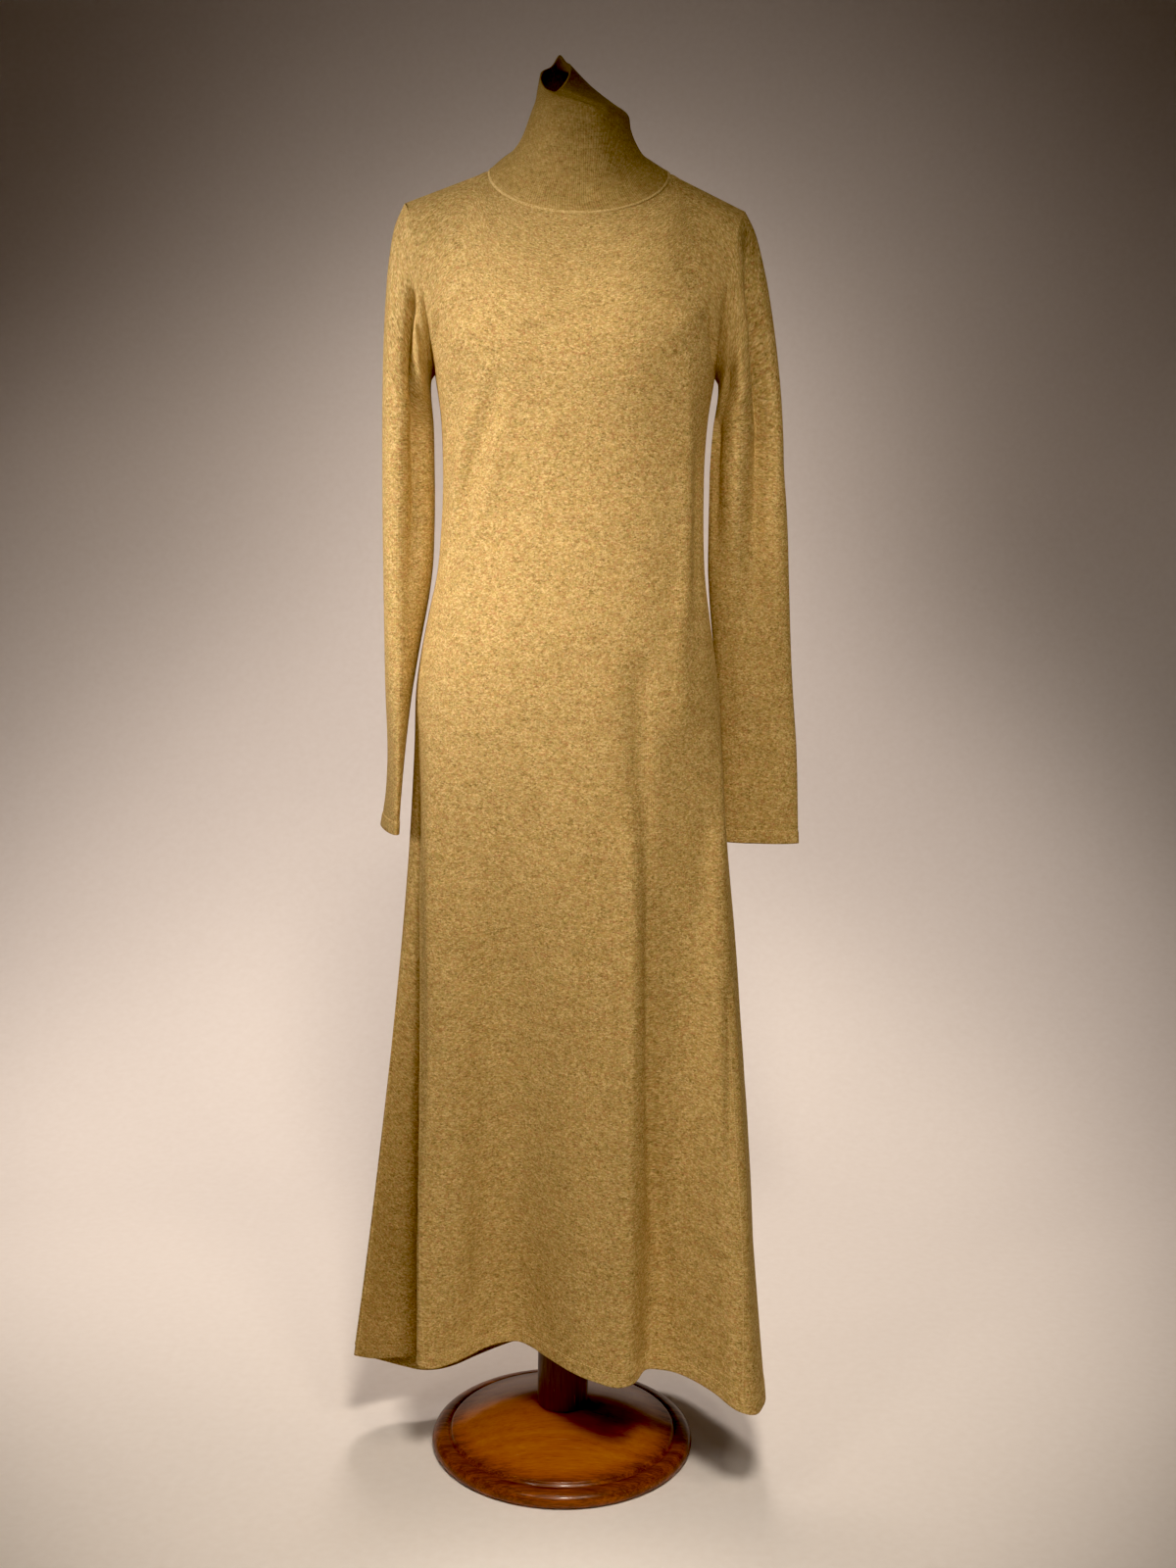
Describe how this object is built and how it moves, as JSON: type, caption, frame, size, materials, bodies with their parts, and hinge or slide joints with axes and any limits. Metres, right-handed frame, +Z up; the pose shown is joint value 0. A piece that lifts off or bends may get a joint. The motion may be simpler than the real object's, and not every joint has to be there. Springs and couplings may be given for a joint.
{
  "type": "sweater dress on a dress form",
  "caption": "Long-sleeved A-line sweater dress with a tall slumped funnel collar, hanging on a limbless dress form with a column and a turned wooden foot.",
  "frame": {"origin": "middle of the foot's flat underside, on the floor", "axes": "+X towards the wearer's left, +Y towards the back, so that the dress faces -Y, and +Z up"},
  "size_m": [0.5074, 0.3277, 1.5848],
  "materials": {
    "knit": "fine-gauge marled knit in ochre and olive with rust flecks, soft nap",
    "linen": "plain linen cover of the dress form",
    "foot_wood": "varnished mahogany-brown, worn at the rim",
    "column_wood": "dark red-brown varnish"
  },
  "bodies": {
    "root": {"dress_front": "knit", "dress_back": "knit", "sleeve_right": "knit", "sleeve_left": "knit", "collar": "knit", "form_torso": "linen", "form_column": "column_wood", "form_base": "foot_wood"}
  },
  "joints": []
}
